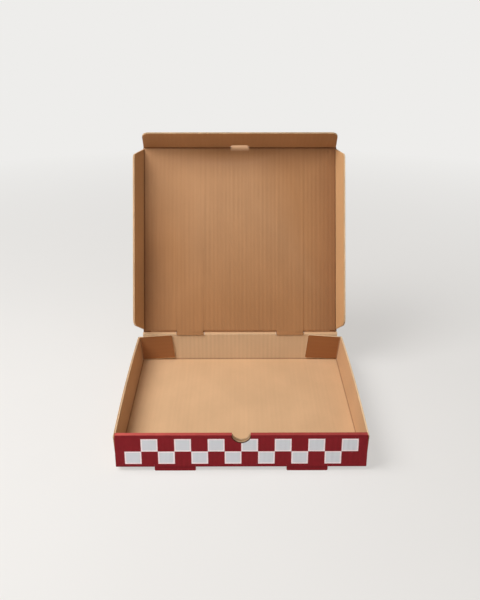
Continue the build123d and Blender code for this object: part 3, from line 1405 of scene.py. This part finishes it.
@dataclass
class FrontFlap(Flap):
    """Tuck flap along the lid's front edge, with the hole that the thumb tab was cut from."""

    depth: float = 40.0
    inset: float = 0.5
    taper: float = 2.2
    corner: float = 10.0
    hole_width: float = 29.1
    hole_depth: float = 8.68
    hole_corner: float = 5.0
    hole_corner_steps: int = 6
    # Painted shade on the flap's inner face, which faces down, away from the lamps
    shade: float = 0.66

    def __post_init__(self) -> None:
        """Work out which way the flap and its inner face point."""
        self.aim(self.lid.up, self.lid.hinge + self.lid.up * self.lid.length)

    def outline(self) -> list[Point]:
        """Draw the flap.

        Returns:
            The points of the outline.
        """
        root = self.lid.width / 2 - self.inset
        tip = root - self.depth * math.tan(math.radians(self.taper))
        start = self.lid.length
        hole = self.hole_width / 2
        foot = start + FOLD_GAP
        top = start + self.hole_depth
        end = start + self.depth
        inner = [(-hole, start), (-hole, top), (hole, top), (hole, start)]
        outer = [(root, start), (tip, end), (-tip, end), (-root, start)]
        return [
            (-root, foot),
            (-hole, foot),
            *round_corners(inner, (self.hole_corner,) * 2, self.hole_corner_steps),
            (hole, foot),
            (root, foot),
            *round_corners(outer, (self.corner,) * 2, self.corner_steps),
        ]

    def from_fold(self, u: float, v: float) -> float:
        """Return how far a point of the flap is from its fold."""
        return v - self.lid.length

    def place(self, u: float, v: float, n: float) -> Vector:
        """Return where a point of the flat flap goes."""
        return self.from_root(self.lid.across * u, self.from_fold(u, v), n)

    def painted_shade(self, u: float, v: float) -> float:
        """Return how much painted shade the flap's inner face gets."""
        return self.shade

    def build(self, finishes: Finishes) -> bpy.types.Object:
        """Build the flap and put it in the place of its node.

        Args:
            finishes: The papers of the box.

        Returns:
            The new piece.
        """
        rows = [self.lid.length + step for step in self.board.crush_steps]
        papers = [finishes.outer, finishes.flap_inner, finishes.core, finishes.cut]
        piece = self.build_sheet("lid_front_flap_board", Blank([self.outline()], rows), papers)
        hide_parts("lid_front_flap")
        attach(piece, "front_flap")
        return piece


@dataclass
class CreasePaper:
    """Liner paper that runs over a moving fold, on its outside and in the groove on its inside."""

    name: str
    bodies: tuple[str, str]
    before: Place
    after: Place
    spans: list[Point]
    outer_skin: Point = (0.1, -0.3)
    inner_skin: Point = (2.4, 2.75)
    # With pale_before the tray's side of the hinge gets no painted crease shade
    pale_before: bool = False
    reaches: tuple[float, ...] = (2.2, 1.5, 0.9, 0.45, 0.15)
    crease_reach: float = 3.0
    bend: float = 1.2
    step: float = 12.0
    sharp_degrees: float = 50.0

    def crease(self, u: float, v: float) -> float:
        """Return how much of a crease there is at a distance v past the fold."""
        return 0.0 if self.pale_before and v <= 0 else 1 - clamp(abs(v) / self.crease_reach)

    def build(self, slot: str, outside: bpy.types.Material, inside: bpy.types.Material) -> bpy.types.Object:
        """Build the paper.

        Args:
            slot: Not used.
            outside: Finish of the strip on the outer face.
            inside: Finish of the strip in the groove.

        Returns:
            The new piece.
        """
        paper = PieceMesh(self.name, self.sharp_degrees)
        path = [(self.before, reach, -reach) for reach in self.reaches]
        path += [(self.after, reach, reach) for reach in reversed(self.reaches)]
        ring = 2 * len(path)
        for part, (shallow, deep) in enumerate((self.outer_skin, self.inner_skin)):
            section = [(*item, shallow) for item in path] + [(*item, deep) for item in reversed(path)]
            for low, high in self.spans:
                count = max(1, round((high - low) / self.step))
                for k in range(count + 1):
                    along = low + (high - low) * k / count
                    first = len(paper.vertices)
                    for place, reach, across, depth in section:
                        paper.add_vertex(place(along, reach, depth), along, across)
                    for i in range(ring if k else 0):
                        j = (i + 1) % ring
                        paper.add_face((first - ring + i, first + i, first + j, first - ring + j), part)
                    if k in (0, count):
                        paper.add_face(range(first, first + ring), part)
        piece = paper.build({"crease": self.crease}, [outside, inside])
        middle = sum(self.spans[0]) / 2
        start = self.before(middle, self.bend, 0.0) * MM
        end = self.after(middle, self.bend, 0.0) * MM
        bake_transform(piece)
        return piece


@dataclass
class FoldPapers:
    """The paper over the hinge and over the folds of the three flaps."""

    tray: Tray
    lid: Lid
    sides: list[SideFlap]
    front: FrontFlap
    ear_margin: float = 0.4
    margin: float = 0.3

    def over_hinge(self) -> CreasePaper:
        """Lay the paper between the tray and the lid, which stops beside the ears.

        Returns:
            The paper.
        """
        tray, lid = self.tray, self.lid
        hinge_v = tray.depth / 2 + tray.hinge_height
        ear_in = lid.ear_centre - lid.ear_width / 2 - self.ear_margin
        ear_out = lid.ear_centre + lid.ear_width / 2 + self.ear_margin
        half = lid.width / 2 - self.margin
        return CreasePaper(
            "hinge_crease",
            ("tray", "lid"),
            lambda u, reach, n: tray.place(u, hinge_v - reach, n),
            lambda u, reach, n: lid.place(u, reach, n),
            [(-ear_in, ear_in), (-half, -ear_out), (ear_out, half)],
            pale_before=True,
        )

    def over_side(self, flap: SideFlap) -> CreasePaper:
        """Lay the paper between the lid and one side flap.

        Args:
            flap: The flap.

        Returns:
            The paper.
        """
        lid = self.lid
        root = lid.width / 2
        return CreasePaper(
            f"{flap.body}_crease",
            ("lid", flap.body),
            lambda v, reach, n: lid.place(flap.side * (root - reach), v, n),
            lambda v, reach, n: flap.place(flap.side * (root + reach), v, n),
            [(flap.rear_start + self.margin, lid.length - flap.front_gap - self.margin)],
        )

    def over_front(self) -> CreasePaper:
        """Lay the paper between the lid and the tuck flap, which stops beside the tab's hole.

        Returns:
            The paper.
        """
        lid, front = self.lid, self.front
        hole = front.hole_width / 2 + self.margin
        end = lid.width / 2 - front.inset - self.margin
        return CreasePaper(
            "front_flap_crease",
            ("lid", "front_flap"),
            lambda u, reach, n: lid.place(u, lid.length - reach, n),
            lambda u, reach, n: front.place(u, lid.length + reach, n),
            [(-end, -hole), (hole, end)],
        )

    def build(self, finishes: Finishes) -> list[bpy.types.Object]:
        """Build the papers.

        Args:
            finishes: The papers of the box.

        Returns:
            The new pieces.
        """
        pieces = [self.over_hinge().build("lid", finishes.outer, finishes.inner)]
        for paper in (*[self.over_side(flap) for flap in self.sides], self.over_front()):
            pieces.append(paper.build("lid_flaps", finishes.outer, finishes.groove))
        return pieces


@dataclass(frozen=True)
class Lamp:
    """A soft square lamp that shines at the box. Places and sizes are metres."""

    name: str
    place: tuple[float, float, float]
    size: float
    power: float
    target: tuple[float, float, float] = (0.0, 0.05, 0.1)

    def add(self) -> None:
        """Add the lamp."""
        data = bpy.data.lights.new(self.name, "AREA")
        data.size = self.size
        data.energy = self.power
        lamp = bpy.data.objects.new(self.name, data)
        lamp.location = self.place
        aim = Vector(self.target) - Vector(self.place)
        lamp.rotation_euler = aim.to_track_quat("-Z", "Y").to_euler()
        bpy.context.scene.collection.objects.link(lamp)


@dataclass(frozen=True)
class Studio:
    """Camera, lamps, floor and background. Places and sizes are metres."""

    camera_place: tuple[float, float, float] = (-0.00506, -0.9661, 0.5503)
    pitch_degrees: float = 22.0
    yaw_degrees: float = 0.251
    lens: float = 47.54
    sensor_width: float = 36.0
    floor_size: float = 30.0
    floor_front: float = -0.147
    floor_front_drop: float = 0.0047
    floor_rear: float = 0.1457
    floor_colour: Colour = colour(228, 226, 223)
    floor_patches: Grain = Grain((3.0, 3.0, 3.0), 4.0, 0.5, tones=(0.98, 1.02))
    floor_roughness: float = 0.9
    floor_specular: float = 0.2
    floor_lift: float = 0.62
    lift_span: Point = (0.35, 1.7)
    background: Colour = colour(238, 237, 235)
    world_colour: Colour = (1.0, 0.84, 0.7, 1.0)
    world_strength: float = 0.22
    lamps: tuple[Lamp, ...] = (
        Lamp("key", (-0.74, -0.3, 1.15), 0.9, 19.4),
        Lamp("front", (0.2, -2.2, 0.7), 1.2, 6.5),
    )

    def add_camera(self) -> None:
        """Add the camera at the photograph's viewing angle."""
        data = bpy.data.cameras.new("camera")
        data.lens = self.lens
        data.sensor_width = self.sensor_width
        camera = bpy.data.objects.new("camera", data)
        camera.location = self.camera_place
        camera.rotation_euler = (math.radians(90 - self.pitch_degrees), 0.0, -math.radians(self.yaw_degrees))
        bpy.context.scene.collection.objects.link(camera)
        bpy.context.scene.camera = camera

    def pale_floor(self) -> bpy.types.Material:
        """Build the floor's finish: matt, and lifted towards the background where it is seen.

        Returns:
            The finished material.
        """
        shader = NodeMaterial("floor", self.floor_roughness, self.floor_specular)
        place = shader.signal("ShaderNodeTexCoord", {}, "Object")
        tone = shader.scale(self.floor_colour, shader.tones(place, self.floor_patches))
        shader.put(shader.shader.inputs["Base Color"], tone)
        glow = shader.signal("ShaderNodeEmission", {"Color": self.background})
        distance = shader.signal("ShaderNodeVectorMath", {0: place}, "Value", operation="LENGTH")
        lift = distance.spread(*self.lift_span, self.floor_lift, 1.0)
        shader.show_to_camera(shader.shader.outputs[0], glow, lift)
        return shader.material

    def add_floor(self) -> None:
        """Add a pale floor that touches the ears of the front wall and the base's rear edge."""
        half = self.floor_size / 2
        slope = self.floor_front_drop / (self.floor_rear - self.floor_front)
        edges = ((-half, -half), (half, -half), (half, half), (-half, half))
        corners = [(x, y, (y - self.floor_rear) * slope) for x, y in edges]
        mesh = bpy.data.meshes.new("floor")
        mesh.from_pydata(corners, [], [(0, 1, 2, 3)])
        mesh.materials.append(self.pale_floor())
        floor = bpy.data.objects.new("floor", mesh)
        bpy.context.scene.collection.objects.link(floor)

    def add_world(self) -> None:
        """Add plain surrounding light and a pale background behind the box."""
        world = bpy.data.worlds.new("world")
        bpy.context.scene.world = world
        world.use_nodes = True
        nodes = Nodes(world.node_tree)
        light = nodes.tree.nodes["Background"]
        nodes.put(light.inputs["Color"], self.world_colour)
        nodes.put(light.inputs["Strength"], self.world_strength)
        seen = nodes.signal("ShaderNodeBackground", {"Color": self.background})
        nodes.show_to_camera(light.outputs[0], seen)

    def build(self) -> None:
        """Build everything around the box."""
        self.add_camera()
        self.add_floor()
        self.add_world()
        for lamp in self.lamps:
            lamp.add()
        bpy.context.scene.view_settings.view_transform = "Standard"


def main() -> None:
    """Build the box and its surroundings."""
    logging.basicConfig(level=logging.INFO, format="%(message)s")
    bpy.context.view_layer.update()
    board = Board()
    finishes = Finishes()
    tray = Tray(board)
    lid = Lid(board)
    left = SideFlap(board, lid, fold_degrees=72.5, side=-1, body="left_flap")
    right = SideFlap(board, lid, fold_degrees=76.7, side=1, body="right_flap")
    front = FrontFlap(board, lid, fold_degrees=68.0)
    pieces = [
        tray.build(finishes),
        lid.build(finishes),
        left.build("lid_left_flap", finishes),
        right.build("lid_right_flap", finishes),
        front.build(finishes),
        *FoldPapers(tray, lid, [left, right], front).build(finishes),
    ]
    for piece in pieces:
        LOG.info("%s: %d faces", piece.name, len(piece.data.polygons))
    Studio().build()


if __name__ == "__main__":
    main()
